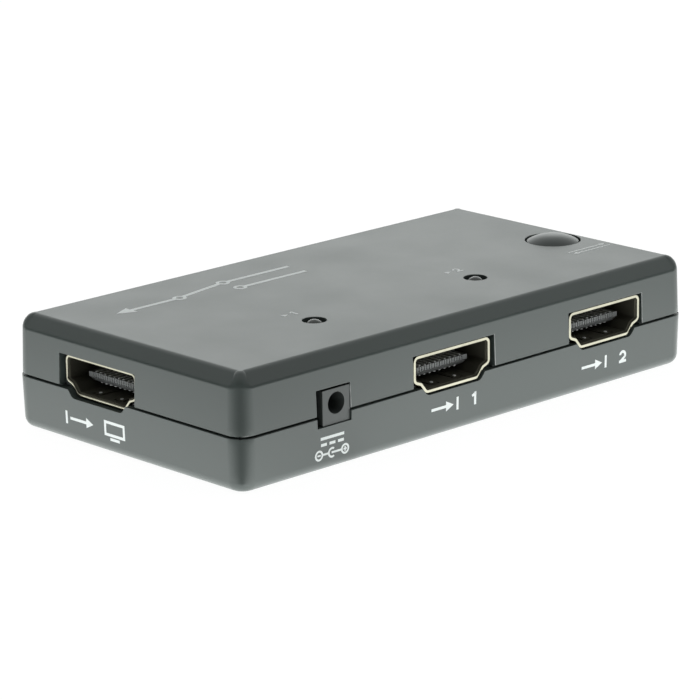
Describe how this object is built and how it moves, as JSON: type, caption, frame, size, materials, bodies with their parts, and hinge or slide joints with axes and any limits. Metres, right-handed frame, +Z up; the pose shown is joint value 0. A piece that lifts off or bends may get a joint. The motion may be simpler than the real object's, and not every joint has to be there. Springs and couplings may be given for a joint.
{
  "type": "video switch box",
  "caption": "Low grey box that switches between video inputs, with framed sockets, a power jack, lamps and a domed select button on a bevelled top.",
  "frame": {"origin": "middle of the underside, on the surface the box stands on", "axes": "+X along the front towards the select button, +Y from the input ports to the back, +Z up"},
  "size_m": [0.09, 0.048, 0.0176],
  "materials": {
    "shell_plastic": "fine satin moulded grey",
    "button_plastic": "smooth satin moulded grey",
    "jack_plastic": "satin moulded black",
    "plated_shell": "bright pale gold plating",
    "contact_metal": "bright plated",
    "insulator_black": "moulded black",
    "board_laminate": "green solder mask",
    "screw_steel": "zinc plated",
    "tinned_steel": "tinned",
    "lamp_epoxy": "smoky clear epoxy",
    "chip_epoxy": "moulded epoxy",
    "can_aluminium": "drawn can",
    "ceramic": "fired ceramic",
    "resistor_film": "glazed film"
  },
  "bodies": {
    "housing": {"lower_shell": "shell_plastic", "upper_shell": "shell_plastic", "housing_screws": "screw_steel", "board_screws": "screw_steel", "circuit_board": "board_laminate", "power_jack_body": "jack_plastic", "power_jack_pin": "contact_metal", "power_jack_spring": "contact_metal", "switch_base": "insulator_black", "switch_cover": "tinned_steel", "switch_dome": "tinned_steel", "switch_terminals": "tinned_steel", "lamp_1_lens": "lamp_epoxy", "lamp_2_lens": "lamp_epoxy", "lamp_leads": "tinned_steel", "switch_chip": "chip_epoxy", "switch_chip_leads": "tinned_steel", "control_chip": "chip_epoxy", "control_chip_leads": "tinned_steel", "voltage_regulator": "chip_epoxy", "regulator_leads": "tinned_steel", "power_capacitors": "can_aluminium", "ceramic_capacitors": "ceramic", "resistors": "resistor_film", "input_1_shell": "plated_shell", "input_1_insulator": "insulator_black", "input_1_contacts": "contact_metal", "input_2_shell": "plated_shell", "input_2_insulator": "insulator_black", "input_2_contacts": "contact_metal", "output_shell": "plated_shell", "output_insulator": "insulator_black", "output_contacts": "contact_metal"},
    "button": {"select_button": "button_plastic"},
    "plunger": {"switch_plunger": "insulator_black"}
  },
  "joints": [
    {"name": "button_press", "type": "slide", "parent": "housing", "child": "button", "axis": [0, 0, -1], "range_m": [0, 0.00025], "stiffness_N_per_m": 6000},
    {"name": "plunger_press", "type": "slide", "parent": "housing", "child": "plunger", "axis": [0, 0, -1], "range_m": [0, 0.00025], "deforming": ["switch_dome"]}
  ],
  "couplings": [
    {"joint": "plunger_press", "follows": "button_press", "ratio": 1}
  ]
}
